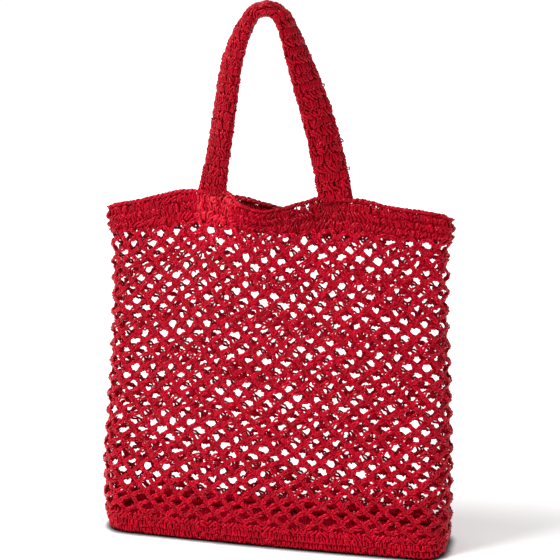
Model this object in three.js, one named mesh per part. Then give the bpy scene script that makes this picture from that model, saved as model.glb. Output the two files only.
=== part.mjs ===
// Crocheted straw net bag, in millimetres, +Z up, front towards -Y.
// The origin is on the floor under the middle of the bag.
// A solid crocheted floor and base band carry a tall diamond net worked in the round.
// A solid rim band closes the net, and one thick crocheted handle stands on its front edge.
import * as THREE from 'three';
import * as BufferGeometryUtils from 'three/addons/utils/BufferGeometryUtils.js';

// Body: widest places of the soft wall, and its height at the two folded rim corners
const BODY_WIDTH = 420;
const BODY_DEPTH = 94;
const BODY_HEIGHT = 395;

// Bands and crochet thickness
const BASE_BAND_HEIGHT = 26;
const BASE_WALL = 6;
const FLOOR_THICKNESS = 5;
const RIM_HEIGHT = 31;
const RIM_WALL = 5;
const RIM_LIFT = 26;
const RIM_ROWS = 3;
const ROW_SWELL = 0.7;

// Net: a coarse version of the fine diamond net, leaning as it climbs
const NET_WALL = 4.5;
const NET_CELLS_AROUND = 11;
const NET_ROWS = 10;
const NET_BAR = 13;
const NET_LEAN = 0.24;
const SMALLEST_GAP = 0.2;

// Handle
const HANDLE_SPAN = 145.5;
const HANDLE_RISE = 207;
const HANDLE_WIDTH = 38;
const HANDLE_THICKNESS = 17;
const HANDLE_SETBACK = 12;
const HANDLE_OFF_CENTRE = 2.8;
const HANDLE_SIDES = 12;
const HANDLE_STEPS = 40;

// Clearance kept wherever two pieces are stitched together, and round the floor
const STITCH_GAP = 0.3;
const FLOOR_GAP = 0.6;

// Facets around the bag, a whole number for each cell of the net
const STEPS_PER_CELL = 8;
const STEPS_AROUND = NET_CELLS_AROUND * STEPS_PER_CELL;

// Plan of the soft wall at several heights. at is a share of BODY_HEIGHT, width and sideways are shares
// of BODY_WIDTH, depth and ends are shares of BODY_DEPTH at the middle and at the two ends, and round is
// the share of the end that its two corners take.
const BODY_SECTIONS = [
  { at: 0.0, width: 0.959, depth: 0.96, ends: 0.92, round: 0.5, sideways: 0.011 },
  { at: 0.065, width: 0.993, depth: 0.98, ends: 0.88, round: 0.72, sideways: 0.003 },
  { at: 0.12, width: 0.998, depth: 1.0, ends: 0.84, round: 0.88, sideways: 0.0 },
  { at: 0.2, width: 1.0, depth: 0.98, ends: 0.77, round: 0.95, sideways: 0.0 },
  { at: 0.36, width: 0.986, depth: 0.95, ends: 0.66, round: 0.97, sideways: 0.004 },
  { at: 0.57, width: 0.963, depth: 0.9, ends: 0.55, round: 1.0, sideways: 0.007 },
  { at: 0.76, width: 0.946, depth: 0.84, ends: 0.46, round: 1.0, sideways: 0.007 },
  { at: 0.885, width: 0.944, depth: 0.76, ends: 0.36, round: 1.0, sideways: 0.007 },
  { at: 0.935, width: 0.964, depth: 0.71, ends: 0.29, round: 1.0, sideways: 0.007 },
  { at: 1.0, width: 0.984, depth: 0.64, ends: 0.21, round: 1.0, sideways: 0.007 },
  { at: 1.08, width: 0.979, depth: 0.58, ends: 0.2, round: 1.0, sideways: 0.007 },
];

// Soft folds pushed into the wall. around is a share of the way round from the front middle towards +X,
// at is a share of BODY_HEIGHT, wide and tall are the fold's reach in the same shares, and out is a
// share of BODY_DEPTH.
const WALL_FOLDS = [
  { around: -0.052, at: 0.945, wide: 0.03, tall: 0.05, out: 0.115 },
  { around: -0.103, at: 0.99, wide: 0.014, tall: 0.06, out: -0.025 },
  { around: 0.028, at: 1.02, wide: 0.045, tall: 0.05, out: -0.1 },
  { around: 0.08, at: 0.97, wide: 0.022, tall: 0.06, out: -0.02 },
  { around: 0.14, at: 0.97, wide: 0.03, tall: 0.06, out: 0.045 },
  { around: 0.02, at: 0.16, wide: 0.12, tall: 0.14, out: 0.03 },
  { around: -0.15, at: 0.62, wide: 0.05, tall: 0.16, out: -0.035 },
  { around: 0.13, at: 0.55, wide: 0.05, tall: 0.2, out: 0.035 },
  { around: 0.42, at: 1.0, wide: 0.05, tall: 0.06, out: -0.05 },
  { around: 0.6, at: 0.99, wide: 0.05, tall: 0.06, out: 0.05 },
  { around: 0.52, at: 0.45, wide: 0.08, tall: 0.16, out: -0.03 },
  { around: 0.47, at: 0.15, wide: 0.12, tall: 0.14, out: 0.03 },
];

// Wave of the rim's two edges, as shares of RIM_LIFT. part runs along each stretch between the corners
// and the handle's feet, and the rim is level under each foot.
const RIM_EDGE = {
  left: [
    { part: 0.0, top: 0.0, bottom: 0.03 },
    { part: 0.34, top: 0.3, bottom: 0.22 },
    { part: 0.63, top: 0.67, bottom: 0.42 },
    { part: 0.87, top: 0.93, bottom: 0.76 },
    { part: 1.0, top: 0.96, bottom: 0.84 },
  ],
  mouth: [
    { part: 0.0, top: 0.96, bottom: 0.74 },
    { part: 0.12, top: 0.5, bottom: 0.58 },
    { part: 0.25, top: 0.24, bottom: 0.47 },
    { part: 0.4, top: 0.14, bottom: 0.41 },
    { part: 0.52, top: 0.22, bottom: 0.4 },
    { part: 0.68, top: 0.4, bottom: 0.41 },
    { part: 0.84, top: 0.6, bottom: 0.5 },
    { part: 1.0, top: 0.8, bottom: 0.62 },
  ],
  right: [
    { part: 0.0, top: 0.8, bottom: 0.58 },
    { part: 0.18, top: 0.74, bottom: 0.55 },
    { part: 0.3, top: 0.57, bottom: 0.5 },
    { part: 0.7, top: 0.3, bottom: 0.3 },
    { part: 0.9, top: 0.12, bottom: 0.18 },
    { part: 1.0, top: 0.0, bottom: 0.12 },
  ],
  back: [
    { part: 0.2, top: -0.12, bottom: 0.02 },
    { part: 0.36, top: -0.22, bottom: -0.04 },
    { part: 0.5, top: -0.02, bottom: 0.05 },
    { part: 0.6, top: 0.35, bottom: 0.22 },
    { part: 0.66, top: 0.46, bottom: 0.28 },
    { part: 0.76, top: 0.42, bottom: 0.24 },
    { part: 0.9, top: 0.16, bottom: 0.1 },
  ],
};

// Handle from its left foot to its right. along is a share of HANDLE_SPAN, rise of HANDLE_RISE, back of
// HANDLE_SETBACK, wide of HANDLE_WIDTH and thick of HANDLE_THICKNESS. turn is how far its outer face,
// in degrees, has turned to the front.
const HANDLE_PATH = [
  { along: 0.0, rise: 0.0, back: 0.0, turn: 78, wide: 0.94, thick: 0.62 },
  { along: 0.03, rise: 0.14, back: 0.25, turn: 62, wide: 0.94, thick: 0.86 },
  { along: 0.06, rise: 0.285, back: 0.5, turn: 51, wide: 1.0, thick: 1.0 },
  { along: 0.103, rise: 0.505, back: 0.75, turn: 48, wide: 1.0, thick: 1.0 },
  { along: 0.152, rise: 0.715, back: 0.9, turn: 42, wide: 1.0, thick: 1.0 },
  { along: 0.241, rise: 0.885, back: 1.0, turn: 27, wide: 0.98, thick: 1.0 },
  { along: 0.338, rise: 0.982, back: 1.0, turn: 10, wide: 0.96, thick: 0.96 },
  { along: 0.455, rise: 1.0, back: 1.0, turn: 4, wide: 0.96, thick: 0.94 },
  { along: 0.541, rise: 0.965, back: 1.0, turn: 7, wide: 0.96, thick: 0.96 },
  { along: 0.601, rise: 0.89, back: 1.0, turn: 13, wide: 0.97, thick: 0.96 },
  { along: 0.674, rise: 0.755, back: 0.92, turn: 28, wide: 0.99, thick: 0.98 },
  { along: 0.788, rise: 0.54, back: 0.78, turn: 46, wide: 1.0, thick: 1.0 },
  { along: 0.892, rise: 0.315, back: 0.5, turn: 58, wide: 1.02, thick: 0.98 },
  { along: 0.956, rise: 0.13, back: 0.25, turn: 72, wide: 1.02, thick: 0.82 },
  { along: 1.0, rise: 0.0, back: 0.0, turn: 82, wide: 1.04, thick: 0.6 },
];

const STRAW_RED = 0xb4142a;
const STRAW_RED_LIT = 0xc2182f;
const STRAW_RED_DEEP = 0x9e1026;

// A curve through the rows of a table that never overshoots them.
function smoothColumn(rows, key, column, at) {
  const last = rows.length - 1;
  if (at <= rows[0][key]) return rows[0][column];
  if (at >= rows[last][key]) return rows[last][column];
  const slope = (i) => (rows[i + 1][column] - rows[i][column]) / (rows[i + 1][key] - rows[i][key]);
  const tangent = (i) => {
    if (i === 0) return slope(0);
    if (i === last) return slope(last - 1);
    const before = slope(i - 1);
    const after = slope(i);
    return before * after <= 0 ? 0 : (2 * before * after) / (before + after);
  };
  let i = 0;
  while (at > rows[i + 1][key]) i += 1;
  const length = rows[i + 1][key] - rows[i][key];
  const t = (at - rows[i][key]) / length;
  const rest = 1 - t;
  return (
    rows[i][column] * (1 + 2 * t) * rest * rest +
    tangent(i) * length * t * rest * rest +
    rows[i + 1][column] * t * t * (3 - 2 * t) -
    tangent(i + 1) * length * t * t * rest
  );
}

function wrapShare(share) {
  return share - Math.floor(share);
}

// Plan at one height: a bowed rectangle with round corners, as a quarter of centres and normals.
const QUARTER_BOW_STEPS = 24;
const QUARTER_CORNER_STEPS = 10;
const planCache = new Map();

function planAt(z) {
  if (planCache.has(z)) return planCache.get(z);
  const share = z / BODY_HEIGHT;
  const read = (column) => smoothColumn(BODY_SECTIONS, 'at', column, share);
  const halfEnd = (read('ends') * BODY_DEPTH) / 2;
  const radius = halfEnd * read('round');
  const reach = (read('width') * BODY_WIDTH) / 2 - radius;
  const bow = (read('depth') * BODY_DEPTH) / 2 - halfEnd;
  const straight = halfEnd - radius;
  const knots = [];
  for (let i = 0; i <= QUARTER_BOW_STEPS; i += 1) {
    const x = (reach * i) / QUARTER_BOW_STEPS;
    const lean = (2 * bow * x) / (reach * reach);
    const size = Math.hypot(lean, 1);
    const y = -straight - bow + bow * (x / reach) ** 2;
    knots.push({ x, y, nx: lean / size, ny: -1 / size });
  }
  const cornerStart = Math.atan2(-1, (2 * bow) / reach);
  for (let i = 1; i <= QUARTER_CORNER_STEPS; i += 1) {
    const angle = cornerStart * (1 - i / QUARTER_CORNER_STEPS);
    knots.push({ x: reach, y: -straight, nx: Math.cos(angle), ny: Math.sin(angle) });
  }
  knots.push({ x: reach, y: 0, nx: 1, ny: 0 });
  let length = 0;
  knots.forEach((knot, i) => {
    if (i > 0) {
      const from = knots[i - 1];
      const dx = knot.x + radius * knot.nx - from.x - radius * from.nx;
      const dy = knot.y + radius * knot.ny - from.y - radius * from.ny;
      length += Math.hypot(dx, dy);
    }
    knot.length = length;
  });
  const plan = { knots, radius, perimeter: 4 * length, sideways: read('sideways') * BODY_WIDTH };
  planCache.set(z, plan);
  return plan;
}

// Core point and outward normal of the plan, at a share of the way round.
function planPoint(plan, around) {
  const quarters = wrapShare(around) * 4;
  const quarter = Math.floor(quarters) % 4;
  const inQuarter = quarters - Math.floor(quarters);
  const onward = quarter % 2 === 0 ? inQuarter : 1 - inQuarter;
  const wanted = (onward * plan.perimeter) / 4;
  const { knots } = plan;
  let i = 0;
  while (i < knots.length - 2 && wanted > knots[i + 1].length) i += 1;
  const span = knots[i + 1].length - knots[i].length;
  const t = span > 0 ? THREE.MathUtils.clamp((wanted - knots[i].length) / span, 0, 1) : 0;
  const mix = (key) => THREE.MathUtils.lerp(knots[i][key], knots[i + 1][key], t);
  const flipX = quarter > 1 ? -1 : 1;
  const flipY = quarter === 1 || quarter === 2 ? -1 : 1;
  const size = Math.hypot(mix('nx'), mix('ny'));
  return {
    x: flipX * mix('x'),
    y: flipY * mix('y'),
    nx: (flipX * mix('nx')) / size,
    ny: (flipY * mix('ny')) / size,
  };
}

function foldAt(around, z) {
  const share = z / BODY_HEIGHT;
  let out = 0;
  for (const fold of WALL_FOLDS) {
    const apart = wrapShare(around - fold.around + 0.5) - 0.5;
    const reach = (apart / fold.wide) ** 2 + ((share - fold.at) / fold.tall) ** 2;
    out += fold.out * BODY_DEPTH * Math.exp(-reach / 2);
  }
  return out;
}

// A point of the soft wall: offset is how far outside the middle of the crochet it lies.
function wallPoint(around, z, offset) {
  const plan = planAt(z);
  const at = planPoint(plan, around);
  const out = plan.radius + offset + foldAt(around, z);
  return new THREE.Vector3(at.x + out * at.nx + plan.sideways, at.y + out * at.ny, z);
}

// The handle's feet, as shares of the way round the rim.
const RIM_PERIMETER = planAt(BODY_HEIGHT).perimeter;
const LEFT_FOOT = (HANDLE_OFF_CENTRE - HANDLE_SPAN / 2) / RIM_PERIMETER;
const RIGHT_FOOT = (HANDLE_OFF_CENTRE + HANDLE_SPAN / 2) / RIM_PERIMETER;
const HALF_FOOT = HANDLE_WIDTH / 2 / RIM_PERIMETER;
const RIM_CORNER = 0.25;

function edgeStretch(rows, start, end) {
  return rows.map((row) => ({ ...row, around: THREE.MathUtils.lerp(start, end, row.part) }));
}

const RIM_WAVE = [
  ...edgeStretch(RIM_EDGE.left, -RIM_CORNER, LEFT_FOOT - HALF_FOOT),
  ...edgeStretch(RIM_EDGE.mouth, LEFT_FOOT + HALF_FOOT, RIGHT_FOOT - HALF_FOOT),
  ...edgeStretch(RIM_EDGE.right, RIGHT_FOOT + HALF_FOOT, RIM_CORNER),
  ...edgeStretch(RIM_EDGE.back, RIM_CORNER, 1 - RIM_CORNER),
  { ...RIM_EDGE.left[0], around: 1 - RIM_CORNER },
];

function rimEdge(around, column) {
  const at = wrapShare(around + RIM_CORNER) - RIM_CORNER;
  return smoothColumn(RIM_WAVE, 'around', column, at) * RIM_LIFT;
}

function rimTop(around) {
  return BODY_HEIGHT + rimEdge(around, 'top');
}

function rimBottom(around) {
  return BODY_HEIGHT - RIM_HEIGHT + rimEdge(around, 'bottom');
}

// Triangles gathered as plain corners and welded into one closed geometry at the end.
class Skin {
  constructor() {
    this.corners = [];
  }

  triangle(a, b, c) {
    this.corners.push(a.x, a.y, a.z, b.x, b.y, b.z, c.x, c.y, c.z);
  }

  quad(a, b, c, d) {
    this.triangle(a, b, c);
    this.triangle(a, c, d);
  }

  geometry() {
    const loose = new THREE.BufferGeometry();
    loose.setAttribute('position', new THREE.Float32BufferAttribute(this.corners, 3));
    const welded = BufferGeometryUtils.mergeVertices(loose, 1e-4);
    welded.computeVertexNormals();
    return welded;
  }
}

// A closed ring of wall. levels are shares of its height from the bottom edge to the top one, and
// swell is how far each crochet row bulges out of both faces.
function wallRing({ levels, lowEdge, highEdge, wall, startShare, swell }) {
  const skin = new Skin();
  const column = (step, side) => {
    const around = (step % STEPS_AROUND) / STEPS_AROUND + startShare;
    const low = lowEdge(around);
    const high = highEdge(around);
    return levels.map((level) => {
      const z = THREE.MathUtils.lerp(low, high, level);
      return wallPoint(around, z, side * (wall / 2 + swell(level)));
    });
  };
  for (let step = 0; step < STEPS_AROUND; step += 1) {
    const outer = [column(step, 1), column(step + 1, 1)];
    const inner = [column(step, -1), column(step + 1, -1)];
    for (let i = 0; i < levels.length - 1; i += 1) {
      skin.quad(outer[0][i], outer[1][i], outer[1][i + 1], outer[0][i + 1]);
      skin.quad(inner[1][i], inner[0][i], inner[0][i + 1], inner[1][i + 1]);
    }
    const top = levels.length - 1;
    skin.quad(outer[0][top], outer[1][top], inner[1][top], inner[0][top]);
    skin.quad(inner[0][0], inner[1][0], outer[1][0], outer[0][0]);
  }
  return skin.geometry();
}

// The floor fits inside the band at its underside and at its top, whichever is narrower.
function makeFloor() {
  const offset = -(BASE_WALL / 2 + FLOOR_GAP);
  const outline = [];
  for (let step = 0; step < STEPS_AROUND; step += 1) {
    const [low, high] = [0, FLOOR_THICKNESS].map((z) => wallPoint(step / STEPS_AROUND, z, offset));
    const point = Math.hypot(low.x, low.y) < Math.hypot(high.x, high.y) ? low : high;
    outline.push(new THREE.Vector2(point.x, point.y));
  }
  const options = { depth: FLOOR_THICKNESS, bevelEnabled: false, steps: 1 };
  return new THREE.ExtrudeGeometry(new THREE.Shape(outline), options);
}

function makeBaseBand() {
  return wallRing({
    levels: [0, FLOOR_THICKNESS / BASE_BAND_HEIGHT, 1],
    lowEdge: () => 0,
    highEdge: () => BASE_BAND_HEIGHT,
    wall: BASE_WALL,
    startShare: 0,
    swell: () => 0,
  });
}

// Where the net's lattice meets the wall: u counts cells round the bag, v rows from the bottom.
function netShare(u, v) {
  const climb = BODY_HEIGHT - RIM_HEIGHT - BASE_BAND_HEIGHT;
  const lean = (NET_LEAN * climb * v) / NET_ROWS / RIM_PERIMETER;
  return (u % NET_CELLS_AROUND) / NET_CELLS_AROUND + lean;
}

function netPoint(u, v, side) {
  const around = netShare(u, v);
  const low = BASE_BAND_HEIGHT + STITCH_GAP;
  const high = rimBottom(around) - STITCH_GAP;
  const z = THREE.MathUtils.lerp(low, high, v / NET_ROWS);
  return wallPoint(around, z, (side * NET_WALL) / 2);
}

// One cell of the net: its frame of bars, on both faces, with the walls of its gap.
function netCell(skin, corners, divisions) {
  const cellWidth = RIM_PERIMETER / NET_CELLS_AROUND;
  const rowHeight = (BODY_HEIGHT - RIM_HEIGHT - BASE_BAND_HEIGHT) / NET_ROWS;
  const side = Math.hypot(cellWidth / 2, rowHeight);
  const across = (cellWidth * rowHeight) / side;
  const open = Math.max(SMALLEST_GAP, 1 - NET_BAR / across);
  const mean = (axis) => corners.reduce((sum, corner) => sum + corner[axis], 0) / corners.length;
  const middle = [mean(0), mean(1)];
  const hole = corners.map((c) => [
    THREE.MathUtils.lerp(middle[0], c[0], open),
    THREE.MathUtils.lerp(middle[1], c[1], open),
  ]);
  corners.forEach((from, i) => {
    const next = (i + 1) % corners.length;
    const parts = divisions[i];
    for (let part = 0; part < parts; part += 1) {
      const place = (ends, t, face) => {
        const u = THREE.MathUtils.lerp(ends[0][0], ends[1][0], t);
        const v = THREE.MathUtils.lerp(ends[0][1], ends[1][1], t);
        return netPoint(u, v, face);
      };
      const rim = [from, corners[next]];
      const gap = [hole[i], hole[next]];
      const [t0, t1] = [part / parts, (part + 1) / parts];
      skin.quad(place(rim, t0, 1), place(rim, t1, 1), place(gap, t1, 1), place(gap, t0, 1));
      skin.quad(place(rim, t1, -1), place(rim, t0, -1), place(gap, t0, -1), place(gap, t1, -1));
      skin.quad(place(gap, t0, 1), place(gap, t1, 1), place(gap, t1, -1), place(gap, t0, -1));
      const onEdge = from[1] === corners[next][1];
      if (onEdge) {
        skin.quad(place(rim, t1, 1), place(rim, t0, 1), place(rim, t0, -1), place(rim, t1, -1));
      }
    }
  });
}

function makeNet() {
  const skin = new Skin();
  const sloped = 2;
  for (let cell = 0; cell < NET_CELLS_AROUND; cell += 1) {
    for (let row = 0; row <= NET_ROWS; row += 1) {
      const left = cell + (row % 2) / 2;
      const leftCorner = [left, row];
      const rightCorner = [left + 1, row];
      const lowCorner = [left + 0.5, row - 1];
      const highCorner = [left + 0.5, row + 1];
      if (row === 0) {
        netCell(skin, [leftCorner, rightCorner, highCorner], [STEPS_PER_CELL, sloped, sloped]);
      } else if (row === NET_ROWS) {
        netCell(skin, [leftCorner, lowCorner, rightCorner], [sloped, sloped, STEPS_PER_CELL]);
      } else {
        const corners = [leftCorner, lowCorner, rightCorner, highCorner];
        netCell(skin, corners, [sloped, sloped, sloped, sloped]);
      }
    }
  }
  return skin.geometry();
}

function makeRim() {
  const perRow = 2;
  const count = RIM_ROWS * perRow;
  return wallRing({
    levels: Array.from({ length: count + 1 }, (_, i) => i / count),
    lowEdge: rimBottom,
    highEdge: rimTop,
    wall: RIM_WALL,
    startShare: netShare(0, NET_ROWS),
    swell: (level) => ROW_SWELL * Math.sin(Math.PI * RIM_ROWS * level) ** 2,
  });
}

// The handle's middle line, from the rim's edge at one foot to the rim's edge at the other.
function handlePlace(share) {
  const left = wallPoint(LEFT_FOOT, rimTop(LEFT_FOOT), 0);
  const right = wallPoint(RIGHT_FOOT, rimTop(RIGHT_FOOT), 0);
  const rows = HANDLE_PATH.map((row, i) => ({ ...row, order: i }));
  const at = share * (rows.length - 1);
  const points = rows.map((row) => {
    const point = new THREE.Vector3().lerpVectors(left, right, row.along);
    point.y += row.back * HANDLE_SETBACK;
    point.z += STITCH_GAP + row.rise * HANDLE_RISE;
    return point;
  });
  const path = new THREE.CatmullRomCurve3(points, false, 'centripetal');
  return {
    point: path.getPoint(share),
    tangent: path.getTangent(share),
    turn: THREE.MathUtils.degToRad(smoothColumn(rows, 'order', 'turn', at)),
    halfWidth: (smoothColumn(rows, 'order', 'wide', at) * HANDLE_WIDTH) / 2,
    halfThick: (smoothColumn(rows, 'order', 'thick', at) * HANDLE_THICKNESS) / 2,
  };
}

// One cross-section: an oval whose broad outer face has turned towards the front.
function handleSection(share) {
  const place = handlePlace(share);
  const towardsFront = new THREE.Vector3(0, -1, 0);
  const front = towardsFront.addScaledVector(place.tangent, -towardsFront.dot(place.tangent)).normalize();
  const outward = new THREE.Vector3().crossVectors(front, place.tangent);
  const face = outward.multiplyScalar(Math.cos(place.turn)).addScaledVector(front, Math.sin(place.turn));
  const across = new THREE.Vector3().crossVectors(face, place.tangent);
  const isFoot = share === 0 || share === 1;
  return Array.from({ length: HANDLE_SIDES }, (_, i) => {
    const angle = (2 * Math.PI * i) / HANDLE_SIDES;
    const point = place.point.clone();
    point.addScaledVector(across, Math.cos(angle) * place.halfWidth);
    point.addScaledVector(face, Math.sin(angle) * place.halfThick);
    if (isFoot) point.z = place.point.z;
    return point;
  });
}

function makeHandle() {
  const skin = new Skin();
  const sections = [];
  for (let step = 0; step <= HANDLE_STEPS; step += 1) sections.push(handleSection(step / HANDLE_STEPS));
  for (let step = 0; step < HANDLE_STEPS; step += 1) {
    for (let i = 0; i < HANDLE_SIDES; i += 1) {
      const next = (i + 1) % HANDLE_SIDES;
      const [here, ahead] = [sections[step], sections[step + 1]];
      skin.quad(here[i], here[next], ahead[next], ahead[i]);
    }
  }
  const [first, last] = [sections[0], sections[HANDLE_STEPS]];
  for (let i = 1; i < HANDLE_SIDES - 1; i += 1) {
    skin.triangle(first[0], first[i + 1], first[i]);
    skin.triangle(last[0], last[i], last[i + 1]);
  }
  return skin.geometry();
}

function straw(color, roughness) {
  return new THREE.MeshStandardMaterial({ color, roughness, metalness: 0 });
}

function piece(name, geometry, material) {
  const mesh = new THREE.Mesh(geometry, material);
  mesh.name = name;
  return mesh;
}

const bag = new THREE.Group();
bag.name = 'straw_net_bag';
bag.add(piece('base_panel', makeFloor(), straw(STRAW_RED_DEEP, 0.6)));
bag.add(piece('base_band', makeBaseBand(), straw(STRAW_RED, 0.55)));
bag.add(piece('net_body', makeNet(), straw(STRAW_RED, 0.5)));
bag.add(piece('rim_band', makeRim(), straw(STRAW_RED_LIT, 0.5)));
bag.add(piece('handle', makeHandle(), straw(STRAW_RED_LIT, 0.5)));

export default bag;
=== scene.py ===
"""Crocheted straw net bag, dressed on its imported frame: every stitch is laid as small yarn strands."""

from __future__ import annotations

import logging
import math
from dataclasses import dataclass, field
from enum import Enum
from typing import Callable, NamedTuple

import bpy
import numpy as np
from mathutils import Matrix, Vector


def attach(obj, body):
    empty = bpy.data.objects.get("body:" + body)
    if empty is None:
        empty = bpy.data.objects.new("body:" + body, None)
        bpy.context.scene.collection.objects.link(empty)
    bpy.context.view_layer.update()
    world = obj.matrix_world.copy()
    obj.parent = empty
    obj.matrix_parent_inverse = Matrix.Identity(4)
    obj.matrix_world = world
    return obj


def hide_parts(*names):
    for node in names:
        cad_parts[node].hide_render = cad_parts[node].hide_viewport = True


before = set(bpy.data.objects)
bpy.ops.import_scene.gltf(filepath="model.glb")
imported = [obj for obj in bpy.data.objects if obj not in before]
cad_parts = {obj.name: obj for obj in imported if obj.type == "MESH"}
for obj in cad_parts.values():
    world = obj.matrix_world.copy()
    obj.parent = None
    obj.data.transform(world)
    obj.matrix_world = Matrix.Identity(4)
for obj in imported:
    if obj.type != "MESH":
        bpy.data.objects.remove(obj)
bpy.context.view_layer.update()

LOG = logging.getLogger("straw_bag")
SEED = 4098
MM = 0.001
Array = np.ndarray

# A stitch takes its dye from the middle of the range, and most of it is common to its strands. The two ends
# of the range hold the painted highlight and the painted shade.
DYE_FROM, DYE_SPAN, DYE_SHARED = 0.3, 0.4, 0.6
# How far under the yarn's middle the painted shade between the stitches is full, and how far over it, at its
# crown, the painted shade is gone, in radii.
PAINTED_SHADE_AT, CROWN_AT = 1.5, 2.0
# Rings of the modelled runs of yarn: place along the run, and radius.
FINE_RINGS = ((0.0, 0.4), (0.22, 1.0), (0.78, 1.0), (1.0, 0.4))
GRAIN_RINGS = ((0.0, 0.5), (0.5, 1.08), (1.0, 0.5))
PLAIN_RINGS = ((0.0, 0.45), (0.5, 1.1), (1.0, 0.45))


class Section(NamedTuple):
    """Plan of the soft wall at one height, as shares of the body's sizes."""

    at: float
    width: float
    depth: float
    ends: float
    round: float
    sideways: float


class Fold(NamedTuple):
    """One soft fold of the wall, as shares of the way round, of the height and of the depth."""

    around: float
    at: float
    wide: float
    tall: float
    out: float


class EdgePoint(NamedTuple):
    """Both edges of the rim at one part of a stretch, as shares of the rim's lift."""

    part: float
    top: float
    bottom: float


class HandlePoint(NamedTuple):
    """The handle at one place, as shares of its sizes, with the turn of its outer face in degrees."""

    along: float
    rise: float
    back: float
    turn: float
    wide: float
    thick: float


BODY_SECTIONS = (
    Section(0.0, 0.959, 0.96, 0.92, 0.5, 0.011),
    Section(0.065, 0.993, 0.98, 0.88, 0.72, 0.003),
    Section(0.12, 0.998, 1.0, 0.84, 0.88, 0.0),
    Section(0.2, 1.0, 0.98, 0.77, 0.95, 0.0),
    Section(0.36, 0.986, 0.95, 0.66, 0.97, 0.004),
    Section(0.57, 0.963, 0.9, 0.55, 1.0, 0.007),
    Section(0.76, 0.946, 0.84, 0.46, 1.0, 0.007),
    Section(0.885, 0.944, 0.76, 0.36, 1.0, 0.007),
    Section(0.935, 0.964, 0.71, 0.29, 1.0, 0.007),
    Section(1.0, 0.984, 0.64, 0.21, 1.0, 0.007),
    Section(1.08, 0.979, 0.58, 0.2, 1.0, 0.007),
)

WALL_FOLDS = (
    Fold(-0.052, 0.945, 0.03, 0.05, 0.115),
    Fold(-0.103, 0.99, 0.014, 0.06, -0.025),
    Fold(0.028, 1.02, 0.045, 0.05, -0.1),
    Fold(0.08, 0.97, 0.022, 0.06, -0.02),
    Fold(0.14, 0.97, 0.03, 0.06, 0.045),
    Fold(0.02, 0.16, 0.12, 0.14, 0.03),
    Fold(-0.15, 0.62, 0.05, 0.16, -0.035),
    Fold(0.13, 0.55, 0.05, 0.2, 0.035),
    Fold(0.42, 1.0, 0.05, 0.06, -0.05),
    Fold(0.6, 0.99, 0.05, 0.06, 0.05),
    Fold(0.52, 0.45, 0.08, 0.16, -0.03),
    Fold(0.47, 0.15, 0.12, 0.14, 0.03),
)

# Painted highlight and painted shade on the wall, matched to the photograph: a pale patch under the left
# handle foot and on the net below it, a deeper stretch along the middle of the mouth and a little on the
# right. out is a share of the whole range of the yarn's dye.
WALL_PAINTED_LIGHT = (
    Fold(-0.074, 0.98, 0.026, 0.08, 0.36),
    Fold(0.05, 0.97, 0.055, 0.06, -0.28),
    Fold(0.21, 0.98, 0.05, 0.06, -0.03),
    Fold(-0.09, 0.84, 0.04, 0.05, 0.12),
)

RIM_LEFT = (
    EdgePoint(0.0, 0.0, 0.03),
    EdgePoint(0.34, 0.3, 0.22),
    EdgePoint(0.63, 0.67, 0.42),
    EdgePoint(0.87, 0.93, 0.76),
    EdgePoint(1.0, 0.96, 0.84),
)
RIM_MOUTH = (
    EdgePoint(0.0, 0.96, 0.74),
    EdgePoint(0.12, 0.5, 0.58),
    EdgePoint(0.25, 0.24, 0.47),
    EdgePoint(0.4, 0.14, 0.41),
    EdgePoint(0.52, 0.22, 0.4),
    EdgePoint(0.68, 0.4, 0.41),
    EdgePoint(0.84, 0.6, 0.5),
    EdgePoint(1.0, 0.8, 0.62),
)
RIM_RIGHT = (
    EdgePoint(0.0, 0.8, 0.58),
    EdgePoint(0.18, 0.74, 0.55),
    EdgePoint(0.3, 0.57, 0.5),
    EdgePoint(0.7, 0.3, 0.3),
    EdgePoint(0.9, 0.12, 0.18),
    EdgePoint(1.0, 0.0, 0.12),
)
RIM_BACK = (
    EdgePoint(0.2, -0.12, 0.02),
    EdgePoint(0.36, -0.22, -0.04),
    EdgePoint(0.5, -0.02, 0.05),
    EdgePoint(0.6, 0.35, 0.22),
    EdgePoint(0.66, 0.46, 0.28),
    EdgePoint(0.76, 0.42, 0.24),
    EdgePoint(0.9, 0.16, 0.1),
)

HANDLE_PATH = (
    HandlePoint(0.0, 0.0, 0.0, 78, 0.94, 0.62),
    HandlePoint(0.03, 0.14, 0.25, 62, 0.94, 0.86),
    HandlePoint(0.06, 0.285, 0.5, 51, 1.0, 1.0),
    HandlePoint(0.103, 0.505, 0.75, 48, 1.0, 1.0),
    HandlePoint(0.152, 0.715, 0.9, 42, 1.0, 1.0),
    HandlePoint(0.241, 0.885, 1.0, 27, 0.98, 1.0),
    HandlePoint(0.338, 0.982, 1.0, 10, 0.96, 0.96),
    HandlePoint(0.455, 1.0, 1.0, 4, 0.96, 0.94),
    HandlePoint(0.541, 0.965, 1.0, 7, 0.96, 0.96),
    HandlePoint(0.601, 0.89, 1.0, 13, 0.97, 0.96),
    HandlePoint(0.674, 0.755, 0.92, 28, 0.99, 0.98),
    HandlePoint(0.788, 0.54, 0.78, 46, 1.0, 1.0),
    HandlePoint(0.892, 0.315, 0.5, 58, 1.02, 0.98),
    HandlePoint(0.956, 0.13, 0.25, 72, 1.02, 0.82),
    HandlePoint(1.0, 0.0, 0.0, 82, 1.04, 0.6),
)


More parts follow.
